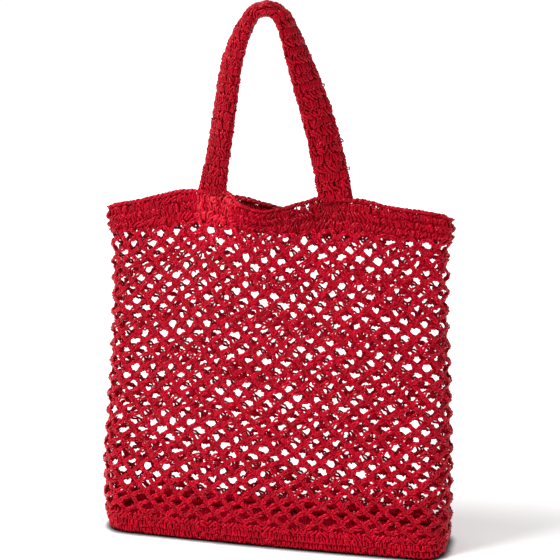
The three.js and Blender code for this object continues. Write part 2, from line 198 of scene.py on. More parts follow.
def smooth_column(keys: Array, values: Array, at: Array) -> Array:
    """Read a table along a smooth curve that never overshoots its rows.

    Args:
        keys: rising places of the rows.
        values: the column at those places.
        at: places to read.

    Returns:
        The column's value at each place.
    """
    slopes = np.diff(values) / np.diff(keys)
    before, after = slopes[:-1], slopes[1:]
    rising = before * after > 0
    inner = np.where(rising, 2 * before * after / np.where(rising, before + after, 1), 0)
    tangents = np.concatenate([slopes[:1], inner, slopes[-1:]])
    at = np.clip(at, keys[0], keys[-1])
    i = np.clip(np.searchsorted(keys, at, side="right") - 1, 0, len(keys) - 2)
    length = keys[i + 1] - keys[i]
    t = (at - keys[i]) / length
    rest = 1 - t
    return (
        values[i] * (1 + 2 * t) * rest**2
        + tangents[i] * length * t * rest**2
        + values[i + 1] * t**2 * (3 - 2 * t)
        - tangents[i + 1] * length * t**2 * rest
    )


def column(rows: tuple, name: str) -> Array:
    """One named column of a table of rows."""
    return np.array([getattr(row, name) for row in rows], float)


def unit(vectors: Array) -> Array:
    """The same directions at length one."""
    return vectors / np.linalg.norm(vectors, axis=-1, keepdims=True)


@dataclass
class SoftWall:
    """The bag's soft side wall: a bowed, folded plan that changes with height, as in the frame."""

    width: float = 0.42
    depth: float = 0.094
    height: float = 0.395
    base_band_height: float = 0.026
    rim_height: float = 0.031
    rim_lift: float = 0.026
    net_lean: float = 0.24
    handle_span: float = 0.1455
    handle_width: float = 0.038
    handle_off_centre: float = 0.0028
    level_step: float = 0.003
    levels: int = 150
    steps_per_quarter: int = 120
    corner: float = 0.25
    side_puff: float = 0.0024
    side_reach: float = 0.03
    bow_knots: int = 25
    corner_knots: int = 10

    def __post_init__(self) -> None:
        """Work the plan out once, on a grid of heights and places round the bag."""
        heights = np.arange(self.levels) * self.level_step
        self.grid = np.stack([self._plan(z) for z in heights])
        self.perimeter = self._quarter(self.height)[1] * 4
        half = self.handle_span / 2
        self.left_foot = (self.handle_off_centre - half) / self.perimeter
        self.right_foot = (self.handle_off_centre + half) / self.perimeter
        half_foot = self.handle_width / 2 / self.perimeter
        stretches = (
            (RIM_LEFT, -self.corner, self.left_foot - half_foot),
            (RIM_MOUTH, self.left_foot + half_foot, self.right_foot - half_foot),
            (RIM_RIGHT, self.right_foot + half_foot, self.corner),
            (RIM_BACK, self.corner, 1 - self.corner),
        )
        around, top, bottom = [], [], []
        for rows, start, end in stretches:
            around.extend(start + (end - start) * column(rows, "part"))
            top.extend(column(rows, "top"))
            bottom.extend(column(rows, "bottom"))
        self.wave_at = np.array(around + [1 - self.corner])
        self.wave_top = np.array(top + [RIM_LEFT[0].top])
        self.wave_bottom = np.array(bottom + [RIM_LEFT[0].bottom])

    def _read(self, name: str, z: float) -> float:
        """One share of the plan at one height."""
        shares = smooth_column(column(BODY_SECTIONS, "at"), column(BODY_SECTIONS, name), z / self.height)
        return float(shares)

    def _quarter(self, z: float) -> tuple[Array, float, Array, float]:
        """Build a quarter of the plan at one height.

        Args:
            z: height above the floor.

        Returns:
            Core points with normals, the quarter's length, the length at each knot, the corner radius.
        """
        half_end = self._read("ends", z) * self.depth / 2
        radius = half_end * self._read("round", z)
        reach = self._read("width", z) * self.width / 2 - radius
        bow = self._read("depth", z) * self.depth / 2 - half_end
        straight = half_end - radius
        x = np.linspace(0, reach, self.bow_knots)
        lean = 2 * bow * x / reach**2
        size = np.hypot(lean, 1)
        bowed = np.stack([x, -straight - bow + bow * (x / reach) ** 2, lean / size, -1 / size], 1)
        turned = np.arange(1, self.corner_knots + 1) / self.corner_knots
        angle = math.atan2(-1, 2 * bow / reach) * (1 - turned)
        flat = np.ones_like(angle)
        corner = np.stack([reach * flat, -straight * flat, np.cos(angle), np.sin(angle)], 1)
        knots = np.concatenate([bowed, corner, [[reach, 0, 1, 0]]])
        skin = knots[:, :2] + radius * knots[:, 2:]
        lengths = np.concatenate([[0], np.cumsum(np.linalg.norm(np.diff(skin, axis=0), axis=1))])
        return knots, lengths[-1], lengths, radius

    def _plan(self, z: float) -> Array:
        """Build the whole plan at one height.

        Args:
            z: height above the floor.

        Returns:
            For each step round: core x, core y, normal x, normal y, radius and sideways shift.
        """
        knots, total, lengths, radius = self._quarter(z)
        steps = np.linspace(0, total, self.steps_per_quarter + 1)
        quarter = np.stack([np.interp(steps, lengths, knots[:, i]) for i in range(4)], 1)
        back = quarter[::-1] * [1, -1, 1, -1]
        right = np.concatenate([quarter[:-1], back[:-1]])
        left = np.concatenate([quarter[:-1], back[:-1]]) * [-1, -1, -1, -1]
        ring = np.concatenate([right, left])
        sideways = self._read("sideways", z) * self.width
        constant = np.tile([radius, sideways], (len(ring), 1))
        return np.concatenate([ring, constant], 1)

    def swell(self, rows: tuple[Fold, ...], around: Array, z: Array) -> Array:
        """Add up soft mounds and hollows on the wall.

        Args:
            rows: the mounds, each with its place, its reach and its height.
            around: share of the way round.
            z: height above the floor.

        Returns:
            Their sum at each place.
        """
        total = np.zeros_like(around)
        for one in rows:
            apart = (around - one.around + 0.5) % 1.0 - 0.5
            reach = (apart / one.wide) ** 2 + ((z / self.height - one.at) / one.tall) ** 2
            total += one.out * np.exp(-reach / 2)
        return total

    def tone(self, runs: Runs) -> Runs:
        """Shift the yarn's dye up to the painted highlight and down to the painted shade, at the wall's
        places for them.
        """
        shift = self.swell(WALL_PAINTED_LIGHT, runs.start[:, 0] / self.perimeter, runs.start[:, 1])
        return runs._replace(lot=np.clip(runs.lot + shift, 0, 1))

    def near_side(self, around: Array, reach: float) -> Array:
        """How near each place is to one of the two side folds: 1 on it, 0 well away from it."""
        apart = np.abs((around + 0.5) % 1.0 - 0.5) - self.corner
        return np.exp(-((apart / reach) ** 2))

    def puff(self, around: Array, z: Array, pitch: float) -> Array:
        """How far the rows, at one pitch up the wall, puff out and in along the side folds."""
        return self.side_puff * self.near_side(around, self.side_reach) * np.cos(2 * np.pi * z / pitch)

    def place(self, around: Array, z: Array, out: Array) -> Array:
        """Find points of the wall.

        Args:
            around: share of the way round, from the front middle towards +X.
            z: height above the floor.
            out: distance outside the middle of the crochet.

        Returns:
            Points in the row frame.
        """
        steps = self.grid.shape[1]
        col = (around % 1.0) * steps
        row = np.clip(z / self.level_step, 0, self.levels - 1.001)
        c0, r0 = np.floor(col).astype(int), np.floor(row).astype(int)
        tc, tr = (col - c0)[..., None], (row - r0)[..., None]
        c0, c1 = c0 % steps, (c0 + 1) % steps
        low = self.grid[r0, c0] * (1 - tc) + self.grid[r0, c1] * tc
        high = self.grid[r0 + 1, c0] * (1 - tc) + self.grid[r0 + 1, c1] * tc
        at = low * (1 - tr) + high * tr
        normal = unit(at[..., 2:4])
        reach = at[..., 4] + out + self.depth * self.swell(WALL_FOLDS, around, z)
        flat = at[..., :2] + reach[..., None] * normal
        return np.stack([flat[..., 0] + at[..., 5], flat[..., 1], z], -1)

    def _edge(self, around: Array, values: Array) -> Array:
        """The lift of one edge of the rim."""
        at = (around + self.corner) % 1.0 - self.corner
        return smooth_column(self.wave_at, values, at) * self.rim_lift

    def rim_top(self, around: Array) -> Array:
        """Height of the rim's upper edge."""
        return self.height + self._edge(around, self.wave_top)

    def rim_bottom(self, around: Array) -> Array:
        """Height of the rim's lower edge."""
        return self.height - self.rim_height + self._edge(around, self.wave_bottom)


class Strand(NamedTuple):
    """One short run of yarn in a stitch.

    Places are shares of the stitch's width, of its height and of the yarn's radius outwards. bow lifts
    the middle of the strand outwards, side carries it sideways, and wide and high are its half sizes,
    all in yarn radii.
    """

    start: tuple[float, float, float]
    end: tuple[float, float, float]
    bow: float = 0.4
    wide: float = 1.0
    high: float = 0.85
    side: float = 0.0


# A chain stitch lies along +Y: two strands leave its root together, part round its middle and close
# again over the next root.
CHAIN = (
    Strand((-0.08, -0.25, 0.5), (-0.12, 1.22, -0.2), 0.5, 1.0, 0.95, -0.8),
    Strand((0.08, -0.25, 0.5), (0.12, 1.22, -0.2), 0.5, 1.0, 0.95, 0.8),
)

# The knot where two arches of the net meet: two strands run on through it, a third crosses under
# them, and two thick turns behind round off the corners of the holes.
KNOT = (
    Strand((-0.52, -0.34, -0.3), (0.5, 0.44, 0.5), 0.8, 1.05, 0.95, 0.5),
    Strand((-0.46, -0.46, -0.3), (0.5, 0.3, 0.5), 0.8, 1.05, 0.95, -0.5),
    Strand((-0.54, 0.42, -0.2), (0.54, -0.38, 0.3), 0.6, 1.25, 0.95, 0.2),
    Strand((0.0, -0.4, -0.2), (0.02, 0.42, -0.2), 0.1, 1.9, 0.9),
    Strand((-0.46, -0.02, -0.7), (0.46, 0.02, -0.7), -0.3, 1.6, 0.9),
)

# Upright rows: two legs side by side under a slanting head.
UPRIGHT = (
    Strand((-0.36, -0.14, -0.9), (-0.16, 0.9, 0.5), 0.9, 0.95, 0.95),
    Strand((0.2, -0.1, -0.9), (0.28, 0.86, 0.3), 0.9, 0.95, 0.95),
    Strand((-0.6, 0.7, -0.2), (0.46, 1.04, 0.8), 0.5, 0.9, 0.9),
    Strand((-0.1, 0.3, -1.2), (0.6, 0.9, -0.6), 0.5, 0.9, 0.9),
)

# Loops that hang side by side: two bowed legs that meet in a round foot, dark between them.
LOOPED = (
    Strand((-0.2, 1.0, -0.9), (-0.12, -0.02, 0.9), 0.9, 0.9, 1.0, -0.75),
    Strand((0.24, 1.0, -0.9), (0.14, -0.02, 0.9), 0.9, 0.9, 1.0, 0.75),
    Strand((-0.3, 0.1, 0.1), (0.34, 0.08, 0.3), 0.7, 0.9, 1.0, -0.3),
    Strand((-0.5, 0.98, -0.6), (0.5, 1.06, -0.2), 0.3, 0.7, 0.7),
)

# Slanting rows: long strands that fall across the stitch, each over the one before it.
SLANTING = (
    Strand((-0.9, 0.84, -0.5), (0.34, 0.12, 0.6), 0.9, 1.0, 0.95),
    Strand((-0.5, 1.1, -0.3), (0.74, 0.42, 0.5), 0.8, 1.0, 0.95),
    Strand((-0.46, 0.3, -0.7), (0.3, -0.14, 0.3), 0.7, 0.9, 0.95),
    Strand((0.3, 0.1, -1.2), (-0.1, 0.9, -0.8), 0.5, 1.0, 0.9),
)

# The same stitches falling the other way.
SLANTING_BACK = tuple(
    strand._replace(start=(-strand.start[0], *strand.start[1:]), end=(-strand.end[0], *strand.end[1:]))
    for strand in SLANTING
)

# What fills the wall behind each stitch.
FILLER = (Strand((0.0, -0.4, -0.2), (0.0, 1.4, -0.2), 0.0, 1.9, 0.6),)

# The cable along an edge: each strand starts behind the last one and ends over the next.
CABLE = (
    Strand((-1.0, -0.55, -0.1), (0.8, 0.35, 1.0), 0.9, 1.05, 1.05),
    Strand((-0.8, 0.3, -0.4), (0.9, -0.4, -1.0), -0.7, 1.05, 1.05),
)

# A small round loop that stands out where a row turns.
LOOP = (
    Strand((0.0, 0.0, -1.0), (0.0, 0.28, 1.4), 0.3, 0.6, 0.6),
    Strand((0.0, 0.1, 1.2), (0.0, 0.9, 1.2), 0.4, 0.6, 0.6),
    Strand((0.0, 0.72, 1.4), (0.0, 1.0, -1.0), 0.3, 0.6, 0.6),
)

# Back of a stitch, seen only inside the bag or under it.
PLAIN_BACK = (
    Strand((-0.2, -0.1, -0.4), (-0.26, 0.84, 0.5), 0.7, 1.1),
    Strand((0.3, -0.1, -0.4), (0.2, 0.84, 0.5), 0.7, 1.1),
)


class Lobe(NamedTuple):
    """A modelled run of yarn: place along it, place across it in radii, and its faces."""

    along: Array
    across: Array
    faces: list[list[int]]


def model_lobe(name: str, sides: int, rings: tuple[tuple[float, float], ...]) -> Lobe:
    """Model one run of yarn, from a small end ring that is drawn out ring by ring.

    Args:
        name: name while it is modelled.
        sides: number of sides.
        rings: for each ring, its place along the run and its radius.

    Returns:
        The run at length one and radius one.
    """
    bpy.ops.object.select_all(action="DESELECT")
    first_at, first_radius = rings[0]
    bpy.ops.mesh.primitive_circle_add(
        vertices=sides, radius=first_radius, fill_type="NGON", location=(0, 0, first_at)
    )
    piece = bpy.context.object
    piece.name = name
    bpy.ops.object.mode_set(mode="EDIT")
    bpy.ops.mesh.select_all(action="SELECT")
    at, radius = first_at, first_radius
    for next_at, next_radius in rings[1:]:
        bpy.ops.mesh.extrude_region_move(TRANSFORM_OT_translate={"value": (0, 0, next_at - at)})
        growth = next_radius / radius
        bpy.ops.transform.resize(value=(growth, growth, 1))
        at, radius = next_at, next_radius
    bpy.ops.mesh.select_all(action="SELECT")
    bpy.ops.mesh.normals_make_consistent(inside=False)
    bpy.ops.object.mode_set(mode="OBJECT")
    place = np.array([piece.matrix_world @ vertex.co for vertex in piece.data.vertices])
    faces = [list(face.vertices) for face in piece.data.polygons]
    mesh = piece.data
    bpy.data.objects.remove(piece)
    bpy.data.meshes.remove(mesh)
    return Lobe(place[:, 2], place[:, :2], faces)


class Runs(NamedTuple):
    """Many runs of yarn on the flat cloth, one row for each."""

    start: Array
    end: Array
    bow: Array
    wide: Array
    high: Array
    lot: Array
    deep_painted_shade: Array
    crown: Array


@dataclass
class Cloth:
    """Stitches laid out on a flat cloth, in metres, before the cloth is draped."""

    rng: np.random.Generator
    yarn: float = 0.00145
    turn_jitter: float = 7.0
    place_jitter: float = 0.00035
    size_jitter: float = 0.09
    sway: float = 0.15
    parts: list[Runs] = field(default_factory=list)

    def lay(
        self,
        pattern: tuple[Strand, ...],
        origin: Array,
        size: tuple[Array | float, Array | float],
        heading: Array | float = 0.0,
        out: Array | float = 0.0,
        inside: bool = False,
    ) -> None:
        """Lay one copy of a stitch at each place.

        Args:
            pattern: the stitch.
            origin: places on the cloth, one row for each copy.
            size: width and height of the stitch, for all copies or for each.
            heading: how far each copy turns to the left, in radians.
            out: height of the yarn's middle above the cloth, for all copies or for each.
            inside: whether the stitch shows its face to the inside.
        """
        count = len(origin)
        wide, tall = np.broadcast_to(size[0], count), np.broadcast_to(size[1], count)
        angle = np.broadcast_to(heading, count) + np.radians(self.rng.normal(0, self.turn_jitter, count))
        cos, sin = np.cos(angle), np.sin(angle)
        middle = np.broadcast_to(out, count)
        flip = -1.0 if inside else 1.0
        lot = self.rng.random(count)
        for strand in pattern:
            ends = []
            for x, y, h in (strand.start, strand.end):
                along, up = flip * x * wide, y * tall
                place = np.stack(
                    [
                        origin[:, 0] + along * cos - up * sin,
                        origin[:, 1] + along * sin + up * cos,
                        middle + flip * h * self.yarn,
                    ],
                    1,
                )
                ends.append(place + self.rng.normal(0, self.place_jitter, (count, 3)))
            grow = self.yarn * (1 + self.rng.uniform(-self.size_jitter, self.size_jitter, count))
            sideways = (flip * strand.side + self.rng.normal(0, self.sway, count)) * self.yarn
            outwards = np.full(count, flip * strand.bow * self.yarn)
            bow = np.stack([sideways * cos, sideways * sin, outwards], 1)
            own = DYE_FROM + DYE_SPAN * (DYE_SHARED * lot + (1 - DYE_SHARED) * self.rng.random(count))
            # Heights where the painted shade is full, deep between the stitches, and where it is gone, on
            # the crown.
            deep_painted_shade = middle - flip * PAINTED_SHADE_AT * self.yarn
            crown = middle + flip * CROWN_AT * self.yarn
            wide_run, high_run = strand.wide * grow, strand.high * grow
            self.parts.append(Runs(ends[0], ends[1], bow, wide_run, high_run, own, deep_painted_shade, crown))

    def lay_mixed(
        self, mix: tuple[tuple[tuple[Strand, ...], float], ...], origin: Array, size: tuple, out: float
    ) -> None:
        """Lay a row of stitches that come out unlike, as hand work does.

        Args:
            mix: the kinds of stitch, each with its share.
            origin: places on the cloth.
            size: width and height of the stitch.
            out: height of the yarn's middle above the cloth.
        """
        shares = np.array([share for _, share in mix])
        kind = self.rng.choice(len(mix), len(origin), p=shares / shares.sum())
        for index, (pattern, _) in enumerate(mix):
            chosen = origin[kind == index]
            if len(chosen):
                self.lay(pattern, chosen, size, out=out)

    def runs(self) -> Runs:
        """All runs laid so far, joined."""
        return Runs(*[np.concatenate([getattr(part, name) for part in self.parts]) for name in Runs._fields])


def spin_up(runs: Runs, lobe: Lobe) -> tuple[Array, Array, Array]:
    """Give every run of yarn its body.

    Args:
        runs: the runs on the cloth.
        lobe: the modelled run that is copied.

    Returns:
        Points of each copy, where each point lies in its own straight yarn, and how high it stands, which
        sets the painted shade: 0 deep between the stitches and fully shaded, 1 on their crown and unshaded.
    """
    axis = runs.end - runs.start
    length = np.linalg.norm(axis, axis=1)
    ahead = axis / length[:, None]
    up = np.zeros_like(ahead)
    up[:, 2] = 1
    up = unit(up - ahead * ahead[:, 2:3])
    side = np.cross(up, ahead)
    t = lobe.along[None, :, None]
    across = lobe.across
    points = (
        runs.start[:, None]
        + t * axis[:, None]
        + 4 * t * (1 - t) * runs.bow[:, None]
        + across[None, :, :1] * (runs.wide[:, None] * side)[:, None]
        + across[None, :, 1:] * (runs.high[:, None] * up)[:, None]
    )
    fibre = np.stack(
        [
            lobe.along[None] * length[:, None] + runs.lot[:, None],
            across[None, :, 0] * runs.wide[:, None] + runs.lot[:, None],
            across[None, :, 1] * runs.high[:, None],
        ],
        -1,
    )
    proud = (points[..., 2] - runs.deep_painted_shade[:, None]) / (runs.crown - runs.deep_painted_shade)[:, None]
    return points, fibre, np.clip(proud, 0, 1)


Drape = Callable[[Array], Array]


def knit(name: str, runs: Runs, lobe: Lobe, drape: Drape, finish: bpy.types.Material) -> bpy.types.Object:
    """Join copies of one run of yarn into a piece.

    Args:
        name: the piece's name.
        runs: the runs on the flat cloth.
        lobe: the modelled run that is copied.
        drape: takes points of the flat cloth to the row frame.
        finish: the piece's material.

    Returns:
        The piece.
    """
    points, fibre, proud = spin_up(runs, lobe)
    copies, corners = points.shape[:2]
    placed = drape(points.reshape(-1, 3))
    sizes = np.tile([len(face) for face in lobe.faces], copies)
    one = np.concatenate([np.array(face) for face in lobe.faces])
    loops = (one[None] + np.arange(copies)[:, None] * corners).ravel()
    mesh = bpy.data.meshes.new(name)
    mesh.vertices.add(len(placed))
    mesh.vertices.foreach_set("co", placed.ravel())
    mesh.loops.add(len(loops))
    mesh.loops.foreach_set("vertex_index", loops)
    mesh.polygons.add(len(sizes))
    mesh.polygons.foreach_set("loop_start", np.concatenate([[0], np.cumsum(sizes)[:-1]]))
    mesh.polygons.foreach_set("use_smooth", np.ones(len(sizes), bool))
    mesh.update(calc_edges=True)
    mesh.attributes.new("fibre", "FLOAT_VECTOR", "POINT").data.foreach_set("vector", fibre.ravel())
    mesh.attributes.new("lot", "FLOAT", "POINT").data.foreach_set("value", np.repeat(runs.lot, corners))
    mesh.attributes.new("proud", "FLOAT", "POINT").data.foreach_set("value", proud.ravel())
    mesh.materials.append(finish)
    piece = bpy.data.objects.new(name, mesh)
    bpy.context.scene.collection.objects.link(piece)
    return piece


def seat(piece: bpy.types.Object, node: str) -> None:
    """Let a piece stand for a node of the frame, and report it.

    Args:
        piece: the finished piece.
        node: the node that it replaces.
    """
    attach(piece, "root")
    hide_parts(node)
    faces = sum(len(face.vertices) - 2 for face in piece.data.polygons)
    LOG.info("%s: %d triangles", piece.name, faces)


def linear(hex_colour: str) -> tuple[float, float, float, float]:
    """Turn an sRGB hex colour into linear light.

    Args:
        hex_colour: six hex digits.

    Returns:
        Red, green, blue and alpha.
    """
    shares = [int(hex_colour[i : i + 2], 16) / 255 for i in (0, 2, 4)]
    light = [s / 12.92 if s <= 0.04045 else ((s + 0.055) / 1.055) ** 2.4 for s in shares]
    return (*light, 1.0)


def add_node(tree: bpy.types.NodeTree, kind: str, settings: dict, links: dict) -> bpy.types.Node:
    """Add a node with its settings and links.

    Args:
        tree: the material's node tree.
        kind: the node's type name.
        settings: properties by name, and input values by input name or number.
        links: output sockets by input name or number.

    Returns:
        The node.
    """
    node = tree.nodes.new(kind)
    for key, value in settings.items():
        if isinstance(key, str) and hasattr(node, key):
            setattr(node, key, value)
        else:
            node.inputs[key].default_value = value
    for key, socket in links.items():
        tree.links.new(socket, node.inputs[key])
    return node


@dataclass(frozen=True)
class PaperStraw:
    """Paper straw, dyed, twisted and crocheted, which gives a waxy gloss and fine creases along it."""

    name: str = "crocheted_paper_straw"
    # The ramp's two ends are a painted highlight and a painted shade, reached only where the wall's painted
    # light shifts the dye.
    painted_highlight: str = "EE444E"
    pale: str = "C40026"
    middle: str = "AC001C"
    deep: str = "940014"
    painted_shade: str = "7C000E"
    # The painted shade colour for yarn deep between the stitches.
    deep_painted_shade: str = "960014"
    sheen_tint: str = "FF7484"
    roughness: float = 0.27
    crease_width: float = 0.45 * MM
    crease_length: float = 7.0 * MM
    crease_height: float = 0.2 * MM
    crease_strength: float = 0.7
    crease_darkening: float = 0.5
    gain: float = 1.34
    shade_from: float = 0.1
    shade_to: float = 0.65
    index: float = 1.5

    def make(self) -> bpy.types.Material:
        """Make the material: colour by yarn lot, painted highlight and painted shade at the dye's ends,
        painted shade deep between the stitches, fine creases along each run of yarn.
        """
        material = bpy.data.materials.new(self.name)
        material.use_nodes = True
        tree = material.node_tree
        shader = tree.nodes["Principled BSDF"]
        lot, fibre, proud = (
            add_node(tree, "ShaderNodeAttribute", {"attribute_name": name}, {})
            for name in ("lot", "fibre", "proud")
        )
        stretch = (1 / self.crease_length, 1 / self.crease_width, 1 / self.crease_width)
        along = add_node(
            tree, "ShaderNodeMapping", {"Scale": stretch}, {"Vector": fibre.outputs["Vector"]}
        )
        crease = add_node(
            tree,
            "ShaderNodeTexNoise",
            {"Scale": 1.0, "Detail": 2.0, "Roughness": 0.6},
            {"Vector": along.outputs["Vector"]},
        )
        dye = add_node(tree, "ShaderNodeValToRGB", {}, {"Fac": lot.outputs["Fac"]})
        ramp = dye.color_ramp
        ramp.elements[0].color = linear(self.painted_shade)
        ramp.elements[1].color = linear(self.painted_highlight)
        for at, colour in ((0.3, self.deep), (0.5, self.middle), (0.7, self.pale)):
            ramp.elements.new(at).color = linear(colour)
        # Darker in the creases: partly the straw's own grain, partly painted shade, as the same noise sinks
        # the bump there.
        creased = add_node(
            tree,
            "ShaderNodeMix",
            {"data_type": "RGBA", "blend_type": "MULTIPLY", 0: self.crease_darkening},
            {6: dye.outputs["Color"], 7: crease.outputs["Fac"]},
        )
        gain = add_node(
            tree,
            "ShaderNodeMix",
            {"data_type": "RGBA", "blend_type": "MULTIPLY", 0: 1.0, 7: (*[self.gain] * 3, 1.0)},
            {6: creased.outputs[2]},
        )
        shade = add_node(
            tree,
            "ShaderNodeMapRange",
            {
                "From Min": self.shade_from,
                "From Max": self.shade_to,
                "interpolation_type": "SMOOTHSTEP",
            },
            {"Value": proud.outputs["Fac"]},
        )
        # Painted shade: the colour turns to the dark shade colour where the yarn lies deep between the
        # stitches.
        depth = add_node(
            tree,
            "ShaderNodeMix",
            {"data_type": "RGBA", 6: linear(self.deep_painted_shade)},
            {0: shade.outputs["Result"], 7: gain.outputs[2]},
        )
        bump = add_node(
            tree,
            "ShaderNodeBump",
            {"Strength": self.crease_strength, "Distance": self.crease_height},
            {"Height": crease.outputs["Fac"]},
        )
        tree.links.new(depth.outputs[2], shader.inputs["Base Color"])
        tree.links.new(bump.outputs["Normal"], shader.inputs["Normal"])
        shader.inputs["Roughness"].default_value = self.roughness
        shader.inputs["IOR"].default_value = self.index
        shader.inputs["Specular Tint"].default_value = linear(self.sheen_tint)
        return material


@dataclass(frozen=True)
class Yarn:
    """What every piece is crocheted with: the modelled runs of yarn and their finishes."""

    fine: Lobe
    grain: Lobe
    plain: Lobe
    straw: bpy.types.Material
    open_straw: bpy.types.Material
    lit_straw: bpy.types.Material
    inside_straw_painted_lighter: bpy.types.Material
    handle_straw_painted_darker: bpy.types.Material
    shaded: bpy.types.Material


class Half(Enum):
    """The two halves of the net that are pieces of their own."""

    FRONT = "front"
    BACK = "back"


@dataclass
class BaseBand:
    """The solid rows at the foot of the side wall."""

    wall: SoftWall
    rows: int = 3
    stitches: int = 168
    half_wall: float = 0.0014
    lowest: float = 0.0026
    mixes: tuple = (
        ((LOOPED, 0.85), (UPRIGHT, 0.15)),
        ((LOOPED, 0.75), (UPRIGHT, 0.25)),
        ((UPRIGHT, 0.3), (SLANTING, 0.35), (SLANTING_BACK, 0.35)),
    )

    def drape(self, flat: Array) -> Array:
        """Take the flat band to the wall, with nothing under the floor it stands on."""
        z = np.maximum(flat[:, 1], 0)
        return self.wall.place(flat[:, 0] / self.wall.perimeter, z, flat[:, 2])

    def build(self, rng: np.random.Generator, yarn: Yarn) -> None:
        """Crochet the band's outer and inner face."""
        pitch = self.wall.perimeter / self.stitches
        row_height = (self.wall.base_band_height - self.lowest) / self.rows
        outer, inner, filling = Cloth(rng, yarn=0.0014, sway=0.2), Cloth(rng), Cloth(rng)
        for row in range(self.rows):
            x = (np.arange(self.stitches) + 0.5 * (row % 2)) * pitch
            origin = np.stack([x, np.full_like(x, self.lowest + row * row_height)], 1)
            outer.lay_mixed(self.mixes[row], origin, (pitch, row_height), self.half_wall)
            inner.lay(PLAIN_BACK, origin, (pitch, row_height), out=-self.half_wall, inside=True)
            filling.lay(FILLER, origin, (pitch, row_height))
        made = (
            knit("base_band_outer", outer.runs(), yarn.fine, self.drape, yarn.straw),
            knit("base_band_inner", inner.runs(), yarn.plain, self.drape, yarn.inside_straw_painted_lighter),
            knit("base_band_filling", filling.runs(), yarn.plain, self.drape, yarn.shaded),
        )
        for piece in made:
            seat(piece, "base_band")


@dataclass
class BasePanel:
    """The solid crocheted floor."""

    wall: SoftWall
    thickness: float = 0.005
    band_wall: float = 0.006
    tuck: float = 0.001
    row_height: float = 0.0088
    pitch: float = 0.0052
    edge_points: int = 240
    upper_face: float = 0.0012
    lower_face: float = 0.0008

    def outline(self) -> Array:
        """The floor's edge, tucked a little way into the base band that it is crocheted to."""
        around = np.arange(self.edge_points) / self.edge_points
        inset = self.tuck - self.band_wall / 2
        return self.wall.place(around, np.zeros_like(around), np.full_like(around, inset))[:, :2]

    def drape(self, flat: Array) -> Array:
        """Take the flat rows to their height and out to the floor's edge, front and back."""
        edge = self.outline()
        reach = np.abs(edge[:, 1]).max()
        placed = flat + [0, 0, self.thickness / 2]
        for side in (-1, 1):
            half = edge[edge[:, 1] * side >= 0]
            half = half[np.argsort(half[:, 0])]
            depth = np.interp(flat[:, 0], half[:, 0], np.abs(half[:, 1]))
            there = flat[:, 1] * side > 0
            placed[there, 1] = (flat[:, 1] * depth / reach)[there]
        placed[:, 2] = np.maximum(placed[:, 2], 0)
        return placed

    def build(self, rng: np.random.Generator, yarn: Yarn) -> None:
        """Crochet the floor in whole rows from edge to edge."""
        edge = self.outline()
        reach = np.abs(edge[:, 1]).max()
        left, right = edge[:, 0].min(), edge[:, 0].max()
        rows = round(2 * reach / self.row_height)
        across = round((right - left) / self.pitch)
        size = ((right - left) / across, 2 * reach / rows)
        grid_x, grid_y = np.meshgrid(left + size[0] * np.arange(across), size[1] * np.arange(rows) - reach)
        origin = np.stack([grid_x.ravel(), grid_y.ravel()], 1)
        cloth = Cloth(rng)
        cloth.lay(PLAIN_BACK, origin, size, out=self.upper_face)
        cloth.lay(PLAIN_BACK, origin, size, out=-self.lower_face, inside=True)
        cloth.lay(FILLER, origin, size)
        piece = knit("base_panel_rows", cloth.runs(), yarn.plain, self.drape, yarn.inside_straw_painted_lighter)
        seat(piece, "base_panel")


